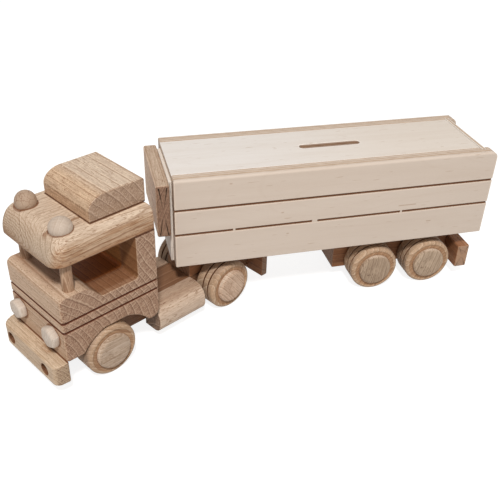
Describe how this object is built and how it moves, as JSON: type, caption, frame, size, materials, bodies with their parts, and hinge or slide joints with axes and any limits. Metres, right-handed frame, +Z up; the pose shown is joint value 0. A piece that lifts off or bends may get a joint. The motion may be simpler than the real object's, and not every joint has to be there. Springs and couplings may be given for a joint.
{
  "type": "toy articulated lorry",
  "caption": "Wooden toy articulated lorry: beech tractor turned on its kingpin under a plywood box trailer with a coin slot.",
  "frame": {"origin": "on the ground, under the middle of the bounding box in the stored pose", "axes": "+X forward along the trailer, +Y to the lorry's left, +Z up; the tractor is stored turned 30.3 degrees to its left"},
  "size_m": [0.3806, 0.1572, 0.1377],
  "materials": {
    "beech": "sanded, unvarnished",
    "pale_beech": "sanded, unvarnished",
    "plywood": "sanded, unvarnished"
  },
  "bodies": {
    "trailer": {"side_panel_left": "plywood", "side_panel_right": "plywood", "lid": "plywood", "front_panel": "plywood", "trailer_floor": "plywood", "headboard": "beech", "kingpin": "beech", "bogie_block": "beech", "rear_beam": "beech"},
    "tractor": {"cab_block": "beech", "cab_roof": "beech", "wind_deflector": "beech", "roof_light_left": "pale_beech", "roof_light_right": "pale_beech", "windscreen_pillar_left": "beech", "windscreen_pillar_right": "beech", "headlight_left": "pale_beech", "headlight_right": "pale_beech", "front_bumper": "beech", "chassis_beam": "beech", "coupling_block": "beech", "tail_board": "beech", "fuel_tank_left": "beech", "fuel_tank_right": "beech"},
    "tailgate": {"tailgate": "plywood"},
    "front_axle_set": {"front_axle": "beech", "front_wheel_left": "beech", "front_hub_left": "pale_beech", "front_wheel_right": "beech", "front_hub_right": "pale_beech"},
    "drive_axle_set": {"drive_axle": "beech", "drive_wheel_left": "beech", "drive_hub_left": "pale_beech", "drive_wheel_right": "beech", "drive_hub_right": "pale_beech"},
    "trailer_first_axle_set": {"trailer_first_axle": "beech", "trailer_first_wheel_left": "beech", "trailer_first_hub_left": "pale_beech", "trailer_first_wheel_right": "beech", "trailer_first_hub_right": "pale_beech"},
    "trailer_second_axle_set": {"trailer_second_axle": "beech", "trailer_second_wheel_left": "beech", "trailer_second_hub_left": "pale_beech", "trailer_second_wheel_right": "beech", "trailer_second_hub_right": "pale_beech"}
  },
  "joints": [
    {"name": "kingpin_turn", "type": "hinge", "parent": "trailer", "child": "tractor", "pos_m": [0.03422, -0.03127, 0.038], "axis": [0, 0, 1], "range_deg": [-150.3, 89.7]},
    {"name": "front_axle_roll", "type": "hinge", "parent": "tractor", "child": "front_axle_set", "pos_m": [0.13575, 0.02807, 0.02], "axis": [-0.5045, 0.8634, 0], "continuous": true},
    {"name": "drive_axle_roll", "type": "hinge", "parent": "tractor", "child": "drive_axle_set", "pos_m": [0.03827, -0.0289, 0.02], "axis": [-0.5045, 0.8634, 0], "continuous": true},
    {"name": "trailer_first_axle_roll", "type": "hinge", "parent": "trailer", "child": "trailer_first_axle_set", "pos_m": [-0.10128, -0.03127, 0.02], "axis": [0, 1, 0], "continuous": true},
    {"name": "trailer_second_axle_roll", "type": "hinge", "parent": "trailer", "child": "trailer_second_axle_set", "pos_m": [-0.14968, -0.03127, 0.02], "axis": [0, 1, 0], "continuous": true},
    {"name": "tailgate_slide", "type": "slide", "parent": "trailer", "child": "tailgate", "axis": [0, 0, 1], "range_m": [0, 0.075]}
  ]
}
